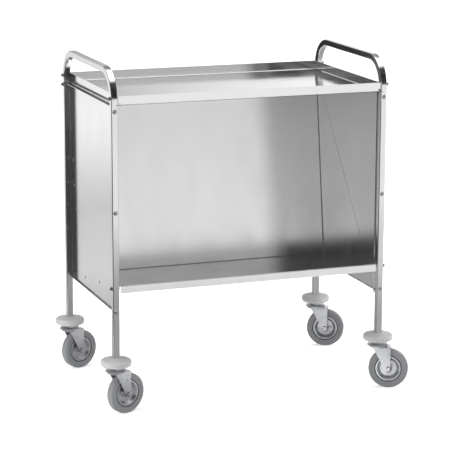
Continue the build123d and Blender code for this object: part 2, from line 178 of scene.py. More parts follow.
# The camera, worked out from the trolley's straight lines; angles in radians, lens in
# millimetres
CAMERA_PLACE = (-2.09612, -5.7322, 1.86103)
CAMERA_YAW, CAMERA_PITCH, CAMERA_ROLL = 0.352667, -0.219821, 0.003044
CAMERA_LENS, CAMERA_SENSOR = 157.913, 36


def middle(node):
    """The middle of a CAD node's box."""
    low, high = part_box(node)
    return (low + high) / 2


def caster_heading(end, side):
    """The direction in which a caster trails at rest, from +X towards +Y."""
    hub = middle(f"wheel_hub_{end}_{side}")
    return math.atan2(hub.y - ENDS[end] * LEG_Y, hub.x - SIDES[side] * LEG_X)


AXLE = middle("wheel_hub_front_left")
TRAIL = math.hypot(AXLE.x + LEG_X, AXLE.y + LEG_Y)
WHEEL_RADIUS = AXLE.z


# ---- sizes and finishes a user may change


def length(name, description, default):
    """A length property in metres."""
    return bpy.props.FloatProperty(
        name=name, description=description, default=default, min=0,
        subtype="DISTANCE", unit="LENGTH", precision=4,
    )


def share(name, description, default):
    """A property from 0 to 1."""
    return bpy.props.FloatProperty(
        name=name, description=description, default=default, min=0, max=1, subtype="FACTOR"
    )


def colour(name, description, default):
    """A colour property."""
    return bpy.props.FloatVectorProperty(
        name=name, description=description, default=default, min=0, max=1,
        size=3, subtype="COLOR",
    )


class TrolleySizes(bpy.types.PropertyGroup):
    """Sizes of the folded sheet, the bent tube and their details."""

    sheet: length("Sheet", "Thickness of the stainless sheet", 1 * MM)
    fold: length("Fold", "Outer radius of the folds", 2.4 * MM)
    tray_fold: length("Tray fold", "Outer radius of the tray's lower folds", 3.2 * MM)
    tube_corner: length("Tube corner", "Corner radius of the square tube", 2.5 * MM)
    handle_bend: length("Handle bend", "Bend radius on the middle of the tube", 85 * MM)
    corner_ahead: length(
        "Corner ahead", "From the rear legs forward to the corner of back and shelf", 90 * MM
    )
    corner_up: length(
        "Corner up", "From the panels' foot up to the corner of back and shelf", 29.5 * MM
    )
    flange: length("Flange", "Width of the side flanges of back and shelf", 14 * MM)
    screw_drop: length("Screw drop", "From the panels' top down to the back screws", 6 * MM)
    lip: length("Lip", "Height of the shelf's front lip", 23 * MM)
    lip_lean: length("Lip lean", "How far the lip's foot stands ahead of its top", 1.4 * MM)
    lip_end: length("Lip end", "From the lip's ends to the legs", 4 * MM)
    top_return: length("Top return", "Width of the back's upper flange", 12 * MM)
    panel_foot: length("Panel foot", "Width of the side panels' lower flange", 6 * MM)


class TrolleyFinishes(bpy.types.PropertyGroup):
    """Colours and gloss of the trolley's finishes."""

    steel: colour("Steel", "Colour of the stainless sheet", (0.78, 0.78, 0.785))
    steel_gloss: share("Steel roughness", "Roughness of the back and the shelf", 0.2)
    panel_gloss: share("Panel roughness", "Roughness of the side panels", 0.15)
    tray_gloss: share("Tray roughness", "Roughness of the tray's sheet", 0.13)
    tube: colour("Tube", "Colour of the stainless tube", (0.74, 0.74, 0.75))
    tube_gloss: share("Tube roughness", "Roughness of the polished tube", 0.15)
    fastener: colour("Fastener", "Colour of the screws, nuts and rivets", (0.52, 0.52, 0.53))
    zinc: colour("Zinc", "Colour of the plated caster parts", (0.70, 0.71, 0.73))
    bumper: colour("Bumper", "Colour of the bumpers", (0.345, 0.348, 0.352))
    tyre: colour("Tyre", "Colour of the tyres", (0.175, 0.18, 0.187))
    hub: colour("Hub", "Colour of the hubs", (0.10, 0.10, 0.105))
    plug: colour("Plug", "Colour of the plugs in the legs", (0.06, 0.06, 0.065))


def sizes():
    """The sizes in use."""
    return bpy.context.scene.trolley_sizes


def finishes():
    """The finishes in use."""
    return bpy.context.scene.trolley_finishes


# ---- shaders and finishes


class Wire:
    """A shader socket that can be added to and multiplied."""

    def __init__(self, shade, socket):
        self.shade = shade
        self.socket = socket

    def _maths(self, operation, other):
        return self.shade.node("ShaderNodeMath", {"operation": operation}, {0: self, 1: other})

    def __add__(self, other):
        return self._maths("ADD", other)

    def __mul__(self, other):
        return self._maths("MULTIPLY", other)


class Shade:
    """One material, or the world, and its nodes."""

    def __init__(self, owner, shader, output):
        owner.use_nodes = True
        self.tree = owner.node_tree
        self.tree.nodes.clear()
        self.owner = owner
        self.shader = self.tree.nodes.new(shader)
        end = self.tree.nodes.new(output)
        self.tree.links.new(self.shader.outputs[0], end.inputs["Surface"])

    def node(self, kind, settings=None, inputs=None, output=0):
        """Adds a node, first its settings and then its sockets, and returns one output.

        The setting "stops" holds a colour ramp's (place, tone) pairs.
        """
        made = self.tree.nodes.new(kind)
        for key, value in (settings or {}).items():
            if key == "stops":
                ramp = made.color_ramp
                while len(ramp.elements) < len(value):
                    ramp.elements.new(0.5)
                for element, (place, level) in zip(ramp.elements, value):
                    element.position = place
                    element.color = grey(level)
            else:
                setattr(made, key, value)
        for key, value in (inputs or {}).items():
            self.feed(made.inputs[key], value)
        return Wire(self, made.outputs[output])

    def feed(self, socket, value):
        """Links or sets a socket."""
        if isinstance(value, Wire):
            self.tree.links.new(value.socket, socket)
        else:
            socket.default_value = value

    def give(self, **inputs):
        """Feeds the shader's own sockets, named with underscores."""
        for key, value in inputs.items():
            self.feed(self.shader.inputs[key.replace("_", " ")], value)

    def place(self, stretch=(1, 1, 1), shift=(0, 0, 0)):
        """Object coordinates, stretched and then shifted."""
        spot = self.node("ShaderNodeTexCoord", output="Object")
        return self.node(
            "ShaderNodeMapping", inputs={"Vector": spot, "Scale": stretch, "Location": shift}
        )

    def noise(self, spot, scale, detail=3.0, roughness=0.55):
        """Noise from 0 to 1 at a scale per metre."""
        return self.node(
            "ShaderNodeTexNoise",
            inputs={"Vector": spot, "Scale": scale, "Detail": detail, "Roughness": roughness},
            output="Fac",
        )

    def ramp(self, value, *stops):
        """A value redrawn between stops of (place, tone)."""
        return self.node("ShaderNodeValToRGB", {"stops": stops}, {"Fac": value})

    def toward(self, ray, direction):
        """How far a ray points in a direction, from -1 to 1."""
        return self.node(
            "ShaderNodeVectorMath",
            {"operation": "DOT_PRODUCT"},
            {0: ray, 1: Vector(direction).normalized()},
            output="Value",
        )

    def by_height(self, ray, *stops):
        """A tone that depends on how high a ray points, between stops of (degrees, tone)."""
        height = self.toward(ray, (0, 0, 1)) * 0.5 + 0.5
        return self.ramp(
            height,
            *[(0.5 + 0.5 * math.sin(math.radians(rise)), level) for rise, level in stops],
        )

    def blend(self, share_of_second, first, second):
        """A mix of two colours."""
        return self.node(
            "ShaderNodeMix",
            {"data_type": "RGBA"},
            {"Factor": share_of_second, 6: first, 7: second},
            output=2,
        )

    def bump(self, height, strength, depth):
        """A bump from a height, as deep as so many metres."""
        return self.node(
            "ShaderNodeBump", inputs={"Height": height, "Strength": strength, "Distance": depth}
        )


def tone(rgb, by):
    """A colour made lighter or darker, with alpha."""
    return tuple(min(1.0, channel * by) for channel in rgb) + (1.0,)


def grey(level):
    """A grey without tint, with alpha."""
    return (level, level, level, 1)


def material(name):
    """A new material with a Principled shader."""
    return Shade(
        bpy.data.materials.new(name), "ShaderNodeBsdfPrincipled", "ShaderNodeOutputMaterial"
    )


def satin_steel(name, rgb, roughness, grain, streaks=0.06, smudges=0.05):
    """Brushed stainless steel whose fine grain runs along the axis with the smallest stretch.

    streaks and smudges are the shares of the roughness that vary by the grain and in patches.
    """
    shade = material(name)
    lines = shade.noise(shade.place(grain), 1.0, 4.0, 0.7)
    cloud = shade.noise(shade.place(), 5.0, 4.0)
    wiped = shade.noise(shade.place((1.0, 1.0, 0.35)), 14.0)
    wiped = shade.ramp(wiped, (0.35, 0.0), (0.7, 1.0))
    tint = lines * 0.6 + cloud * 0.4
    shade.give(
        Metallic=1.0,
        Base_Color=shade.blend(tint, tone(rgb, 0.93), tone(rgb, 1.05)),
        Roughness=lines * streaks + wiped * smudges + (roughness - (streaks + smudges) / 2),
        Normal=shade.bump(lines, 0.12, 0.00004),
    )
    return shade.owner


def plated_steel(name, rgb, roughness):
    """Bright zinc plate on pressed steel, with a faint mottle and dull spots."""
    shade = material(name)
    mottle = shade.noise(shade.place(), 160.0)
    dull = shade.ramp(shade.noise(shade.place(), 45.0, 4.0, 0.65), (0.52, 0.0), (0.72, 1.0))
    base = shade.blend(mottle, tone(rgb, 0.96), tone(rgb, 1.04))
    shade.give(
        Metallic=1.0,
        Base_Color=shade.blend(dull, base, tone(rgb, 0.72)),
        Roughness=mottle * 0.06 + dull * 0.16 + roughness,
        Normal=shade.bump(mottle, 0.15, 0.00008),
    )
    return shade.owner


def moulded(name, rgb, roughness, grain_scale, grain_depth, clouding=0.08, dirt=0.25):
    """Moulded plastic or rubber with a fine grain, a slight clouding and dirt in patches."""
    shade = material(name)
    grain = shade.noise(shade.place(), grain_scale, 2.0, 0.6)
    cloud = shade.noise(shade.place(), 22.0)
    worn = shade.ramp(shade.noise(shade.place(), 60.0, 5.0, 0.7), (0.55, 0.0), (0.8, 1.0))
    base = shade.blend(cloud, tone(rgb, 1 - clouding), tone(rgb, 1 + clouding))
    shade.give(
        Base_Color=shade.blend(worn * dirt, base, tone(rgb, 0.55)),
        Roughness=grain * 0.1 + worn * 0.08 + roughness,
        Normal=shade.bump(grain, 0.35, grain_depth),
    )
    return shade.owner


def finish(name):
    """A finish by name, made when it is first asked for."""
    made = bpy.data.materials.get(name)
    if made:
        return made
    look = finishes()
    recipes = {
        "tray_steel": (satin_steel, look.steel, look.tray_gloss, (9, 900, 900), 0.04, 0.04),
        "panel_steel": (satin_steel, look.steel, look.panel_gloss, (900, 900, 7)),
        "back_steel": (satin_steel, look.steel, look.steel_gloss, (7, 900, 900)),
        "tube_steel": (satin_steel, look.tube, look.tube_gloss, (700, 700, 12)),
        "fastener_steel": (satin_steel, look.fastener, 0.18, (900, 900, 900), 0.08),
        "rivet_metal": (satin_steel, look.steel, 0.26, (900, 900, 900), 0.08),
        "zinc_plate": (plated_steel, look.zinc, 0.26),
        "grey_plastic": (moulded, look.bumper, 0.42, 1500.0, 0.00025),
        "grey_rubber": (moulded, look.tyre, 0.5, 900.0, 0.0001, 0.12, 0.4),
        "black_nylon": (moulded, look.hub, 0.4, 1200.0, 0.0001),
        "black_polythene": (moulded, look.plug, 0.5, 1200.0, 0.0001),
    }
    make, *values = recipes[name]
    return make(name, *values)


# ---- modelling steps


def let_go():
    """Leaves edit mode with nothing selected."""
    active = bpy.context.view_layer.objects.active
    if active and active.mode != "OBJECT":
        bpy.ops.object.mode_set(mode="OBJECT")
    bpy.ops.object.select_all(action="DESELECT")


def take(piece):
    """Makes a piece the only selected one."""
    let_go()
    piece.select_set(True)
    bpy.context.view_layer.objects.active = piece
    return piece


def work_on(piece):
    """Opens a piece in edit mode with nothing selected."""
    take(piece)
    bpy.ops.object.mode_set(mode="EDIT")
    bpy.ops.mesh.select_all(action="DESELECT")


def pick(kind, test):
    """Selects the open piece's vertices, edges or faces that pass a test.

    kind is VERT, EDGE or FACE; the test gets the middle of each and itself.
    """
    bpy.ops.mesh.select_mode(type=kind)
    bpy.ops.mesh.select_all(action="DESELECT")
    data = bpy.context.edit_object.data
    mesh = bmesh.from_edit_mesh(data)
    found = {"VERT": mesh.verts, "EDGE": mesh.edges, "FACE": mesh.faces}[kind]
    for part in found:
        if kind == "VERT":
            spot = part.co
        elif kind == "EDGE":
            spot = (part.verts[0].co + part.verts[1].co) / 2
        else:
            spot = part.calc_center_median()
        part.select_set(bool(test(spot, part)))
    mesh.select_flush_mode()
    bmesh.update_edit_mesh(data)


def pull(by):
    """Extrudes what is selected by a vector."""
    bpy.ops.mesh.extrude_region_move(TRANSFORM_OT_translate={"value": tuple(by)})


def cut(plane_at, plane_to):
    """Cuts the whole open piece along a plane, and keeps both sides."""
    bpy.ops.mesh.select_all(action="SELECT")
    bpy.ops.mesh.bisect(plane_co=plane_at, plane_no=plane_to)


def weld():
    """Merges doubled points of the open piece."""
    bpy.ops.mesh.select_all(action="SELECT")
    bpy.ops.mesh.remove_doubles(threshold=MERGED)


def close_up():
    """Merges doubles and turns the faces outwards, then leaves edit mode."""
    bpy.ops.mesh.select_mode(type="VERT")
    weld()
    bpy.ops.mesh.normals_make_consistent(inside=False)
    bpy.ops.object.mode_set(mode="OBJECT")


def apply_place(piece):
    """Puts a piece's place into its mesh."""
    take(piece)
    bpy.ops.object.transform_apply(location=True, rotation=True, scale=True)


def modify(piece, kind, **settings):
    """Adds a modifier and applies it."""
    take(piece)
    modifier = piece.modifiers.new(kind.title(), kind)
    for key, value in settings.items():
        setattr(modifier, key, value)
    bpy.ops.object.modifier_apply(modifier=modifier.name)


def soften(piece, width, angle):
    """Rounds a piece's edges that are sharper than an angle in degrees."""
    modify(
        piece, "BEVEL", width=width, segments=2,
        limit_method="ANGLE", angle_limit=math.radians(angle), harden_normals=False,
    )


def smooth(piece, angle=40):
    """Shades a piece smoothly up to an angle in degrees, and lets its large faces stay flat."""
    take(piece)
    bpy.ops.object.shade_smooth_by_angle(angle=math.radians(angle))
    modify(piece, "WEIGHTED_NORMAL", keep_sharp=True, weight=80)


def plate(name, across, deep, centre, turn=(0, 0, 0)):
    """A flat plate without thickness, the start of a folded piece."""
    let_go()
    bpy.ops.mesh.primitive_plane_add(size=1, location=centre, rotation=turn)
    piece = bpy.context.object
    piece.name = name
    piece.scale = (across, deep, 1)
    apply_place(piece)
    return piece


def turned(name, profile, steps, rings=()):
    """A piece turned on the Z axis from (radius, height) points in metres.

    rings holds (point number, width, segments) for each ring that is rounded.
    """
    let_go()
    bpy.ops.mesh.primitive_plane_add(size=2 * MM, location=(profile[0][0], 0, profile[0][1]))
    piece = bpy.context.object
    piece.name = name
    apply_place(piece)
    work_on(piece)
    bpy.ops.mesh.select_all(action="SELECT")
    bpy.ops.mesh.merge(type="CENTER")
    for (radius, height), (next_radius, next_height) in zip(profile, profile[1:]):
        bpy.ops.mesh.extrude_vertices_move(
            TRANSFORM_OT_translate={"value": (next_radius - radius, 0, next_height - height)}
        )
    bpy.ops.mesh.select_all(action="SELECT")
    bpy.ops.mesh.spin(steps=steps, angle=FULL_TURN, center=(0, 0, 0), axis=(0, 0, 1))
    weld()
    bpy.ops.mesh.normals_make_consistent(inside=False)
    for number, width, segments in rings:
        radius, height = profile[number]
        pick(
            "EDGE",
            lambda spot, edge: all(
                abs(vert.co.z - height) < ON_PLANE
                and abs(math.hypot(vert.co.x, vert.co.y) - radius) < ON_PLANE
                for vert in edge.verts
            ),
        )
        bpy.ops.mesh.bevel(offset=width, segments=segments, affect="EDGES")
    close_up()
    return piece


def millimetres(points):
    """An outline given in millimetres, in metres."""
    return [(radius * MM, height * MM) for radius, height in points]


def cad_copy(name, node):
    """A merged copy of a CAD node's mesh, to be finished further."""
    source = frame["nodes"][node]
    take(source)
    bpy.ops.object.duplicate()
    piece = bpy.context.object
    piece.name = name
    piece.parent = None
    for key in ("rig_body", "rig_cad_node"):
        del piece[key]
    piece.data.materials.clear()
    work_on(piece)
    weld()
    bpy.ops.mesh.customdata_custom_splitnormals_clear()
    bpy.ops.mesh.dissolve_limited(angle_limit=math.radians(1))
    bpy.ops.object.mode_set(mode="OBJECT")
    return piece


def copies(name, master, places):
    """One piece out of copies of a master, each on a place and turned from +Z to a direction."""
    made = []
    for spot, direction in places:
        take(master)
        bpy.ops.object.duplicate()
        copy = bpy.context.object
        copy.rotation_mode = "QUATERNION"
        copy.rotation_quaternion = Vector(direction).to_track_quat("Z", "X")
        copy.location = spot
        apply_place(copy)
        made.append(copy)
    let_go()
    for copy in made:
        copy.select_set(True)
    bpy.context.view_layer.objects.active = made[0]
    if len(made) > 1:
        bpy.ops.object.join()
    piece = bpy.context.object
    piece.name = name
    piece.rotation_mode = "XYZ"
    bpy.data.objects.remove(master)
    return piece


def dress(piece, body, slot_name, finish_name, *nodes):
    """Gives a piece its finish and its body, and hides the CAD nodes that it stands for."""
    piece.data.materials.clear()
    piece.data.materials.append(finish(finish_name))
    for polygon in piece.data.polygons:
        polygon.material_index = 0
    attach(piece, body)
    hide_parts(*nodes)


def caster_part(node, end, side, body, slot_name, finish_name, rounding, angle=30):
    """Takes a part of a caster over from the CAD, with rounded edges."""
    part = f"{node}_{end}_{side}"
    piece = cad_copy(f"finished_{part}", part)
    soften(piece, rounding, angle)
    smooth(piece, 35)
    dress(piece, body, slot_name, finish_name, part)


def dress_casters(stem, master, moving, slot_name, finish_name, node):
    """Copies a piece, modelled over the origin with its trail along +X, to the four casters.

    moving is the stem of the bodies that the copies ride on, empty for the trolley's.
    """
    for end, side in CASTERS:
        take(master)
        bpy.ops.object.duplicate()
        copy = bpy.context.object
        copy.name = f"{stem}_{end}_{side}"
        copy.rotation_euler = (0, 0, caster_heading(end, side))
        copy.location = (SIDES[side] * LEG_X, ENDS[end] * LEG_Y, 0)
        apply_place(copy)
        body = f"{moving}_{end}_{side}" if moving else "trolley"
        dress(copy, body, slot_name, finish_name, f"{node}_{end}_{side}")
    bpy.data.objects.remove(master)


def onto_axle(piece):
    """Moves a piece turned on the Z axis onto the axle, its +Z towards -Y."""
    piece.rotation_euler = (math.radians(90), 0, 0)
    piece.location = (TRAIL, 0, WHEEL_RADIUS)
    apply_place(piece)


# ---- the pieces


class TROLLEY_OT_side_frames(bpy.types.Operator):
    """Bends each side frame from one square tube, two legs and a handle"""

    bl_idname = "trolley.side_frames"
    bl_label = "Side frames"

    def execute(self, context):
        bend = sizes().handle_bend
        bend_foot = HANDLE_TOP - TUBE / 2 - bend
        for name, side in SIDES.items():
            x = side * LEG_X
            tube = plate(f"bent_tube_{name}", TUBE, TUBE, (x, -LEG_Y, LEG_FOOT))
            work_on(tube)
            bpy.ops.mesh.select_all(action="SELECT")
            bpy.ops.mesh.bevel(offset=sizes().tube_corner, segments=5, affect="VERTICES")
            pick("FACE", lambda spot, face: True)
            pull((0, 0, bend_foot - LEG_FOOT))
            for centre_y, straight in (
                (bend - LEG_Y, (0, 2 * (LEG_Y - bend), 0)),
                (LEG_Y - bend, (0, 0, LEG_FOOT - bend_foot)),
            ):
                centre = (x, centre_y, bend_foot)
                bpy.ops.mesh.spin(steps=28, angle=QUARTER_TURN, center=centre, axis=(1, 0, 0))
                pull(straight)
            close_up()
            smooth(tube)
            dress(tube, "trolley", "stainless_tube", "tube_steel", f"side_frame_{name}")
        return {"FINISHED"}


class TROLLEY_OT_tray(bpy.types.Operator):
    """Folds the tray, with notches at the lower corners of its front wall"""

    bl_idname = "trolley.tray"
    bl_label = "Tray"

    def execute(self, context):
        sheet, fold = sizes().sheet, sizes().tray_fold
        half_x, half_y, foot = tray_high.x, tray_high.y, tray_low.z
        notch_x, notch_z = half_x - TRAY_NOTCH_WIDTH, foot + TRAY_NOTCH_HEIGHT
        front_wall = TRAY_FRONT - half_y
        tray = plate("folded_tray", 2 * half_x, 2 * half_y, (0, 0, foot))
        work_on(tray)
        pick("FACE", lambda spot, face: True)
        pull((0, 0, tray_high.z - foot))
        bpy.ops.mesh.delete(type="ONLY_FACE")
        pick("EDGE", lambda spot, edge: abs(edge.verts[0].co.z - edge.verts[1].co.z) > EDGE_RUN)
        bpy.ops.mesh.bevel(offset=TRAY_CORNER, segments=3, affect="EDGES")
        pick("EDGE", lambda spot, edge: spot.z < foot + ON_PLANE and len(edge.link_faces) == 2)
        bpy.ops.mesh.bevel(offset=fold, segments=5, affect="EDGES")
        cut((notch_x, 0, 0), (1, 0, 0))
        cut((-notch_x, 0, 0), (1, 0, 0))
        cut((0, 0, notch_z), (0, 0, 1))
        pick(
            "FACE",
            lambda spot, face: spot.y < front_wall
            and notch_x < abs(spot.x) < half_x - TRAY_CORNER / 2
            and spot.z < notch_z,
        )
        bpy.ops.mesh.delete(type="FACE")
        close_up()
        modify(tray, "SOLIDIFY", thickness=sheet, offset=-1, use_even_offset=True)
        soften(tray, SHEET_EDGE, 60)
        smooth(tray)
        dress(tray, "trolley", "stainless_sheet", "tray_steel", "top_tray")
        return {"FINISHED"}


class TROLLEY_OT_side_panels(bpy.types.Operator):
    """Folds the side panels, pans that open outwards"""

    bl_idname = "trolley.side_panels"
    bl_label = "Side panels"

    def execute(self, context):
        sheet, fold = sizes().sheet, sizes().fold
        height = panel_high.z - panel_low.z
        middle_z = (panel_high.z + panel_low.z) / 2
        for name, side in SIDES.items():
            panel = plate(
                f"folded_panel_{name}",
                height,
                2 * panel_high.y,
                (side * panel_low.x, 0, middle_z),
                (0, math.radians(90), 0),
            )
            work_on(panel)
            pick("FACE", lambda spot, face: True)
            pull((side * (panel_high.x - panel_low.x), 0, 0))
            bpy.ops.mesh.delete(type="ONLY_FACE")
            pick(
                "EDGE", lambda spot, edge: abs(edge.verts[0].co.x - edge.verts[1].co.x) > EDGE_RUN
            )
            bpy.ops.mesh.bevel(offset=PANEL_CORNER, segments=2, affect="EDGES")
            pick(
                "EDGE",
                lambda spot, edge: abs(spot.x) < panel_low.x + ON_PLANE
                and len(edge.link_faces) == 2,
            )
            bpy.ops.mesh.bevel(offset=fold, segments=4, affect="EDGES")
            foot_x = panel_low.x + sizes().panel_foot
            foot_z = panel_low.z + ON_PLANE
            pick("FACE", lambda spot, face: spot.z < foot_z)
            bpy.ops.mesh.bisect(plane_co=(side * foot_x, 0, 0), plane_no=(1, 0, 0))
            pick("FACE", lambda spot, face: spot.z < foot_z and abs(spot.x) > foot_x)
            bpy.ops.mesh.delete(type="FACE")
            close_up()
            modify(panel, "SOLIDIFY", thickness=sheet, offset=-1, use_even_offset=True)
            soften(panel, SHEET_EDGE, 60)
            smooth(panel)
            dress(panel, "trolley", "stainless_sheet", "panel_steel", f"side_panel_{name}")
        return {"FINISHED"}


class TROLLEY_OT_back_and_shelf(bpy.types.Operator):
    """Folds the back and the shelf from one sheet, with a lip, an upper return and side flanges"""

    bl_idname = "trolley.back_and_shelf"
    bl_label = "Back and shelf"

    def execute(self, context):
        size = sizes()
        sheet, fold = size.sheet, size.fold
        corner = Vector((0, LEG_Y - size.corner_ahead, panel_low.z + size.corner_up))
        rise = panel_high.z - size.screw_drop - corner.z
        tilt = math.atan2(LEG_Y - size.flange / 2 - corner.y, rise)
        up = Vector((0, math.sin(tilt), math.cos(tilt)))
        ahead = Vector((0, -math.cos(tilt), math.sin(tilt)))
        lip_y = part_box("back_and_shelf")[0].y + sheet / 2 + size.lip_lean
        depth = (corner.y - lip_y) / math.cos(tilt)
        height = (panel_high.z - corner.z) / math.cos(tilt)
        half = INNER_X - sheet / 2
        front = corner + ahead * depth
        folded = plate(
            "folded_back_and_shelf", 2 * half, depth, corner + ahead * depth / 2, (-tilt, 0, 0)
        )
        work_on(folded)
        pick("EDGE", lambda spot, edge: (spot - front).length < AT_PLACE)
        pull((0, -size.lip_lean, -size.lip))
        pick("EDGE", lambda spot, edge: (spot - corner).length < AT_PLACE)
        pull(up * height)
        pull(-ahead * size.top_return)
        top = corner + up * height
        for place in (front, corner, top):
            pick("EDGE", lambda spot, edge: (spot - place).length < AT_PLACE)
            bpy.ops.mesh.bevel(offset=fold, segments=5, affect="EDGES")
        lip_half = half - size.lip_end
        cut((lip_half, 0, 0), (1, 0, 0))
        cut((-lip_half, 0, 0), (1, 0, 0))
        pick(
            "FACE",
            lambda spot, face: abs(spot.x) > lip_half
            and (
                (spot.z < front.z - fold and spot.y < front.y + fold)
                or (spot - corner).dot(-ahead) > fold
            ),
        )
        bpy.ops.mesh.delete(type="FACE")
        for along, inward, reach in ((up, ahead, height), (ahead, up, depth)):
            pick(
                "EDGE",
                lambda spot, edge: abs(spot.x) > half - ON_PLANE
                and abs((spot - corner - Vector((spot.x, 0, 0))).dot(inward)) < 10 * ON_PLANE
                and abs((edge.verts[0].co - edge.verts[1].co).dot(along)) > reach / 2,
            )
            pull(-inward * size.flange)
        pick(
            "EDGE",
            lambda spot, edge: abs(spot.x) > half - ON_PLANE
            and len(edge.link_faces) == 2
            and abs(edge.link_faces[0].normal.x) + abs(edge.link_faces[1].normal.x) > 0.9,
        )
        bpy.ops.mesh.bevel(offset=FLANGE_FOLD, segments=4, affect="EDGES")
        close_up()
        modify(folded, "SOLIDIFY", thickness=sheet, offset=0, use_even_offset=True)
        soften(folded, SHEET_EDGE, 60)
        smooth(folded)
        dress(folded, "trolley", "stainless_sheet", "back_steel", "back_and_shelf")
        return {"FINISHED"}


def piece_middles(node, reach=30 * MM):
    """The middles of the small like pieces in a CAD node, none longer than the reach."""
    groups = []
    for vert in frame["nodes"][node].data.vertices:
        for group in groups:
            if (vert.co - group[0]).length < reach:
                group.append(vert.co)
                break
        else:
            groups.append([vert.co])
    middles = []
    for group in groups:
        low = Vector(min(co[axis] for co in group) for axis in range(3))
        high = Vector(max(co[axis] for co in group) for axis in range(3))
        middles.append((low + high) / 2)
    return middles


def hexagon(flats, depth, centre_z):
    """A hexagonal prism on the Z axis, flats wide from flat to flat."""
    let_go()
    bpy.ops.mesh.primitive_cylinder_add(
        vertices=6, radius=flats / 2 / math.cos(math.pi / 6), depth=depth, location=(0, 0, centre_z)
    )
    return bpy.context.object


class TROLLEY_OT_domed_nuts(bpy.types.Operator):
    """Models the domed nuts and washers on the outer faces of the legs"""

    bl_idname = "trolley.domed_nuts"
    bl_label = "Domed nuts"

    def execute(self, context):
        places = []
        for spot in piece_middles("cap_nuts", 15 * MM):
            side = math.copysign(1, spot.x)
            places.append(((side * OUTER_X, spot.y, spot.z), (side, 0, 0)))
        washer = turned("nut_washer", millimetres(WASHER), 40, [(2, 0.3 * MM, 2)])
        dome = turned("nut_dome", millimetres(NUT_DOME), 40)
        prism = hexagon(NUT_FLATS, NUT_DEPTH, NUT_MIDDLE)
        apply_place(prism)
        work_on(prism)
        pick("FACE", lambda spot, face: face.normal.z > 0.5)
        bpy.ops.mesh.bevel(offset=0.5 * MM, segments=2, affect="EDGES")
        close_up()
        soften(prism, 0.15 * MM, 25)
        let_go()
        for piece in (washer, dome, prism):
            piece.select_set(True)
        bpy.context.view_layer.objects.active = washer
        bpy.ops.object.join()
        nuts = copies("domed_nuts", washer, places)
        smooth(nuts, 30)
        dress(nuts, "trolley", "stainless_fastener", "fastener_steel", "cap_nuts")
        return {"FINISHED"}


class TROLLEY_OT_socket_screws(bpy.types.Operator):
    """Models the low round heads, each with a hexagon socket, of the screws in the frames"""

    bl_idname = "trolley.socket_screws"
    bl_label = "Socket screws"

    def head(self, dome, rise):
        """One screw head on the XY plane, as high as its rise, with its shank below."""
        crown = [(0, rise)] + [(radius * MM, up * rise) for radius, up in dome]
        below = [
            (dome[-1][0] * MM, 0),
            (SHANK_RADIUS, 0),
            (SHANK_RADIUS, -SHANK_LENGTH),
            (0, -SHANK_LENGTH),
        ]
        head = turned("screw_head", crown + below, 36, [(1, 0.06 * rise, 2)])
        socket = hexagon(SOCKET_FLATS, 4 * MM, rise + 0.1 * MM)
        modify(head, "BOOLEAN", operation="DIFFERENCE", object=socket, solver="EXACT")
        bpy.data.objects.remove(socket)
        return head

    def execute(self, context):
        ends = []
        for spot in piece_middles("panel_screws"):
            end = math.copysign(1, spot.y)
            ends.append(((spot.x, end * OUTER_Y, spot.z), (0, end, 0)))
        screws = copies("leg_screws", self.head(ROUND_DOME, ROUND_HEAD_HEIGHT), ends)
        smooth(screws, 30)
        dress(screws, "trolley", "stainless_fastener", "fastener_steel", "panel_screws")
        for node in ("tray_screws", "shelf_screws", "back_screws"):
            insides = []
            inside_x = INNER_X - sizes().sheet
            for spot in piece_middles(node):
                side = math.copysign(1, spot.x)
                insides.append(((side * inside_x, spot.y, spot.z), (-side, 0, 0)))
            screws = copies(f"inner_{node}", self.head(FLAT_DOME, FLAT_HEAD_HEIGHT), insides)
            smooth(screws, 15)
            dress(screws, "trolley", "stainless_fastener", "fastener_steel", node)
        return {"FINISHED"}


class TROLLEY_OT_rivets(bpy.types.Operator):
    """Models the blind rivets in the side panels, heads outside and tails inside"""

    bl_idname = "trolley.rivets"
    bl_label = "Rivets"

    def execute(self, context):
        places = []
        outside_x = INNER_X + sizes().sheet
        for spot in piece_middles("rivets"):
            side = math.copysign(1, spot.x)
            places.append(((side * outside_x, spot.y, spot.z), (side, 0, 0)))
        rivet = turned("blind_rivet", millimetres(RIVET), 28, [(2, 0.15 * MM, 2)])
        rivets = copies("blind_rivets", rivet, places)
        smooth(rivets, 35)
        dress(rivets, "trolley", "stainless_fastener", "rivet_metal", "rivets")
        return {"FINISHED"}


class TROLLEY_OT_bumpers(bpy.types.Operator):
    """Models the round bumpers between the casters and the legs"""

    bl_idname = "trolley.bumpers"
    bl_label = "Bumpers"

    def execute(self, context):
        low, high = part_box("bumper_front_left")
        radius = (high.x - low.x) / 2
        foot, top = low.z, high.z
        # Radii of the hole, of the boss on top and of the seat underneath
        bore, boss, seat = 6.3 * MM, 17 * MM, 30 * MM
        underside = [(bore, foot), (seat, foot), (seat + 1 * MM, foot + 0.8 * MM)]
        rim = [
            (radius - 4 * MM, foot + 0.8 * MM),
            (radius, foot + 4.8 * MM),
            (radius, foot + 9.6 * MM),
            (radius - 0.35 * MM, foot + 10 * MM),
            (radius, foot + 10.4 * MM),
            (radius, foot + 17.4 * MM),
            (radius - 5 * MM, top - 3.9 * MM),
        ]
        crown = [(boss + 2 * MM, top - 0.9 * MM), (boss, top), (bore, top), (bore, foot)]
        bumper = turned(
            "bumper",
            underside + rim + crown,
            96,
            [
                (3, 2.4 * MM, 4),
                (4, 2.4 * MM, 5),
                (8, 2.6 * MM, 6),
                (9, 2.6 * MM, 6),
                (10, 0.8 * MM, 3),
            ],
        )
        smooth(bumper, 30)
        dress_casters("soft_bumper", bumper, "", "bumper_plastic", "grey_plastic", "bumper")
        return {"FINISHED"}


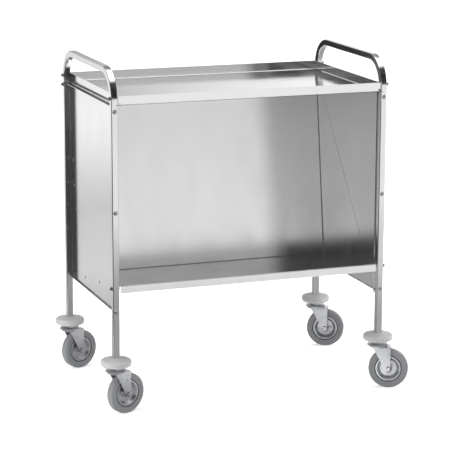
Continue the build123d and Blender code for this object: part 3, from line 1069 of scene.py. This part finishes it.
class TROLLEY_OT_swivel_heads(bpy.types.Operator):
    """Finishes the brimmed swivel heads, and the pins and races in them"""

    bl_idname = "trolley.swivel_heads"
    bl_label = "Swivel heads"

    def execute(self, context):
        for end, side in CASTERS:
            for node, body, rounding in (
                ("swivel_head", "trolley", 0.5 * MM),
                ("swivel_pin", "trolley", 0.6 * MM),
                ("ball_race", f"swivel_{end}_{side}", 0.4 * MM),
            ):
                caster_part(node, end, side, body, "zinc_steel", "zinc_plate", rounding)
        return {"FINISHED"}


class TROLLEY_OT_forks(bpy.types.Operator):
    """Finishes the pressed forks, and the axle bolts and nuts in them"""

    bl_idname = "trolley.forks"
    bl_label = "Forks and axles"

    def execute(self, context):
        for end, side in CASTERS:
            body = f"swivel_{end}_{side}"
            for node, rounding in (
                ("fork", 0.7 * MM),
                ("axle_bolt", 0.4 * MM),
                ("axle_nut", 0.4 * MM),
            ):
                caster_part(node, end, side, body, "zinc_steel", "zinc_plate", rounding, 25)
        return {"FINISHED"}


class TROLLEY_OT_wheels(bpy.types.Operator):
    """Models the tyres, and finishes the rims of two dishes and the hubs"""

    bl_idname = "trolley.wheels"
    bl_label = "Wheels"

    def execute(self, context):
        near_half = millimetres(TYRE_BORE + TYRE_FACE) + [(WHEEL_RADIUS, TYRE_HALF_WIDTH)]
        far_half = [(radius, -height) for radius, height in reversed(near_half)]
        tyre = turned(
            "tyre",
            near_half + far_half + near_half[:1],
            120,
            [(9, 5.3 * MM, 6), (10, 5.3 * MM, 6), (5, 0.6 * MM, 3), (14, 0.6 * MM, 3)],
        )
        smooth(tyre, 30)
        onto_axle(tyre)
        dress_casters("rubber_tyre", tyre, "wheel", "tyre_rubber", "grey_rubber", "tyre")
        for end, side in CASTERS:
            for node, slot_name, finish_name, rounding in (
                ("rim_dishes", "zinc_steel", "zinc_plate", 0.6 * MM),
                ("wheel_hub", "hub_plastic", "black_nylon", 0.5 * MM),
            ):
                body = f"wheel_{end}_{side}"
                caster_part(node, end, side, body, slot_name, finish_name, rounding)
        return {"FINISHED"}


class TROLLEY_OT_hidden_fittings(bpy.types.Operator):
    """Finishes the CAD nodes that stay as they are, most of them out of sight"""

    bl_idname = "trolley.hidden_fittings"
    bl_label = "Hidden fittings"

    def execute(self, context):
        looks = {
            "leg_plugs": "black_polythene",
            "stem_nuts": "zinc_plate",
            "panel_nuts": "fastener_steel",
        }
        for end, side in CASTERS:
            looks[f"axle_sleeve_{end}_{side}"] = "zinc_plate"
        for node, finish_name in looks.items():
            piece = frame["nodes"][node]
            piece.data.materials.clear()
            piece.data.materials.append(finish(finish_name))
        return {"FINISHED"}


class TROLLEY_OT_stage(bpy.types.Operator):
    """Lays the pale floor and sets the cards, the soft studio light and the camera"""

    bl_idname = "trolley.stage"
    bl_label = "Stage"

    def floor(self):
        """The pale floor, faintly glowing so that the shadows stay faint."""
        floor = plate("floor", FLOOR_SIZE, FLOOR_SIZE, (0, 0, 0))
        shade = material("pale_floor")
        shade.give(
            Base_Color=shade.blend(shade.noise(shade.place(), 2.0), grey(0.86), grey(0.88)),
            Roughness=0.85,
            Emission_Color=grey(1),
            Emission_Strength=0.4,
        )
        floor.data.materials.append(shade.owner)
        floor.visible_glossy = False

    def cards(self):
        """The cloth cards around the trolley, seen by reflections only."""
        pale = material("grey_cloth")
        # The grey cloth's tones are painted reflection: darker about the trolley, with a painted
        # bright patch in the middle that the casters reflect
        spread = pale.node(
            "ShaderNodeTexGradient",
            {"gradient_type": "SPHERICAL"},
            {"Vector": pale.place(GREY_CLOTH_STRETCH, GREY_CLOTH_SHIFT)},
        )
        pale.give(Base_Color=pale.ramp(spread, *GREY_CLOTH_TONES), Roughness=0.9)
        dark = material("black_cloth")
        weave = dark.noise(dark.place(), 9.0)
        dark.give(Base_Color=dark.blend(weave, grey(0.01), grey(0.03)), Roughness=0.9)
        cloths = {"grey": pale.owner, "black": dark.owner}
        for name, across, deep, centre, turn, cloth in CARDS:
            card = plate(name, across, deep, centre, (math.radians(turn), 0, 0))
            card.data.materials.append(cloths[cloth])
            for ray_kind in ("camera", "diffuse", "transmission", "shadow"):
                setattr(card, f"visible_{ray_kind}", False)

    def studio(self, scene):
        """The light that comes from all around, white where the camera sees it."""
        world = bpy.data.worlds.new("soft_studio")
        scene.world = world
        sky = Shade(world, "ShaderNodeBackground", "ShaderNodeOutputWorld")
        ray = sky.node("ShaderNodeTexCoord", output="Generated")
        front = sky.by_height(ray, *FRONT_LIGHT)
        rear = sky.by_height(ray, *REAR_LIGHT)
        ahead = sky.ramp(sky.toward(ray, (0, -1, 0)), (0.0, 0.0), (0.35, 1.0))
        wall = sky.blend(ahead, rear, front)
        for direction, near, full, level in PATCHES:
            spot = sky.ramp(sky.toward(ray, direction), (near, 0.0), (full, 1.0))
            wall = sky.blend(spot, wall, grey(level))
        seen = sky.node("ShaderNodeLightPath", output="Is Camera Ray")
        sky.give(Color=sky.blend(seen, wall, grey(1)), Strength=1.0)

    def lamps(self):
        """Two low softboxes at the sides and daylight from above."""
        for name, place in SOFTBOX_PLACES.items():
            let_go()
            bpy.ops.object.light_add(type="AREA", location=place)
            lamp = bpy.context.object
            lamp.name = name
            lamp.data.size = SOFTBOX_SIZE
            lamp.data.energy = SOFTBOX_POWER
            aim = Vector(SOFTBOX_AIM) - Vector(place)
            lamp.rotation_euler = aim.to_track_quat("-Z", "Y").to_euler()
            lamp.visible_camera = False
            lamp.visible_glossy = False
        let_go()
        bpy.ops.object.light_add(type="SUN", location=(0, 0, 4), rotation=(0, 0, 0))
        daylight = bpy.context.object
        daylight.name = "overhead_daylight"
        daylight.data.energy = DAYLIGHT_STRENGTH
        daylight.data.angle = math.radians(DAYLIGHT_SPREAD)
        daylight.visible_glossy = False

    def camera(self, scene):
        """The camera that looks from the photograph's place."""
        yaw, pitch, roll = CAMERA_YAW, CAMERA_PITCH, CAMERA_ROLL
        ahead = Vector(
            (math.sin(yaw) * math.cos(pitch), math.cos(yaw) * math.cos(pitch), math.sin(pitch))
        )
        right = Vector((math.cos(yaw), -math.sin(yaw), 0))
        up = right.cross(ahead)
        tipped_right = right * math.cos(roll) + up * math.sin(roll)
        tipped_up = up * math.cos(roll) - right * math.sin(roll)
        let_go()
        bpy.ops.object.camera_add(location=CAMERA_PLACE)
        camera = bpy.context.object
        camera.rotation_euler = Matrix((tipped_right, tipped_up, -ahead)).transposed().to_euler()
        camera.data.sensor_width = CAMERA_SENSOR
        camera.data.lens = CAMERA_LENS
        camera.data.clip_end = 200
        scene.camera = camera

    def execute(self, context):
        self.floor()
        self.cards()
        self.studio(context.scene)
        self.lamps()
        self.camera(context.scene)
        context.scene.view_settings.view_transform = "Standard"
        return {"FINISHED"}


OPERATORS = (
    TROLLEY_OT_stage,
    TROLLEY_OT_side_frames,
    TROLLEY_OT_tray,
    TROLLEY_OT_side_panels,
    TROLLEY_OT_back_and_shelf,
    TROLLEY_OT_domed_nuts,
    TROLLEY_OT_socket_screws,
    TROLLEY_OT_rivets,
    TROLLEY_OT_bumpers,
    TROLLEY_OT_swivel_heads,
    TROLLEY_OT_forks,
    TROLLEY_OT_wheels,
    TROLLEY_OT_hidden_fittings,
)


class TROLLEY_PT_panel(bpy.types.Panel):
    """Lists the trolley's pieces, sizes and finishes"""

    bl_idname = "TROLLEY_PT_panel"
    bl_label = "Serving Trolley"
    bl_space_type = "VIEW_3D"
    bl_region_type = "UI"
    bl_category = "Trolley"

    def draw(self, context):
        for operator in OPERATORS:
            self.layout.operator(operator.bl_idname)
        for group in (context.scene.trolley_sizes, context.scene.trolley_finishes):
            box = self.layout.box()
            for key in group.__annotations__:
                box.prop(group, key)


CLASSES = (TrolleySizes, TrolleyFinishes, *OPERATORS, TROLLEY_PT_panel)


def register():
    """Registers the trolley's classes and properties."""
    for cls in CLASSES:
        bpy.utils.register_class(cls)
    bpy.types.Scene.trolley_sizes = bpy.props.PointerProperty(type=TrolleySizes)
    bpy.types.Scene.trolley_finishes = bpy.props.PointerProperty(type=TrolleyFinishes)


def unregister():
    """Takes the trolley's classes and properties out again."""
    del bpy.types.Scene.trolley_finishes
    del bpy.types.Scene.trolley_sizes
    for cls in reversed(CLASSES):
        bpy.utils.unregister_class(cls)


def main():
    """Builds the whole trolley."""
    register()
    bpy.ops.trolley.stage()
    bpy.ops.trolley.side_frames()
    bpy.ops.trolley.tray()
    bpy.ops.trolley.side_panels()
    bpy.ops.trolley.back_and_shelf()
    bpy.ops.trolley.domed_nuts()
    bpy.ops.trolley.socket_screws()
    bpy.ops.trolley.rivets()
    bpy.ops.trolley.bumpers()
    bpy.ops.trolley.swivel_heads()
    bpy.ops.trolley.forks()
    bpy.ops.trolley.wheels()
    bpy.ops.trolley.hidden_fittings()


if __name__ == "__main__":
    main()
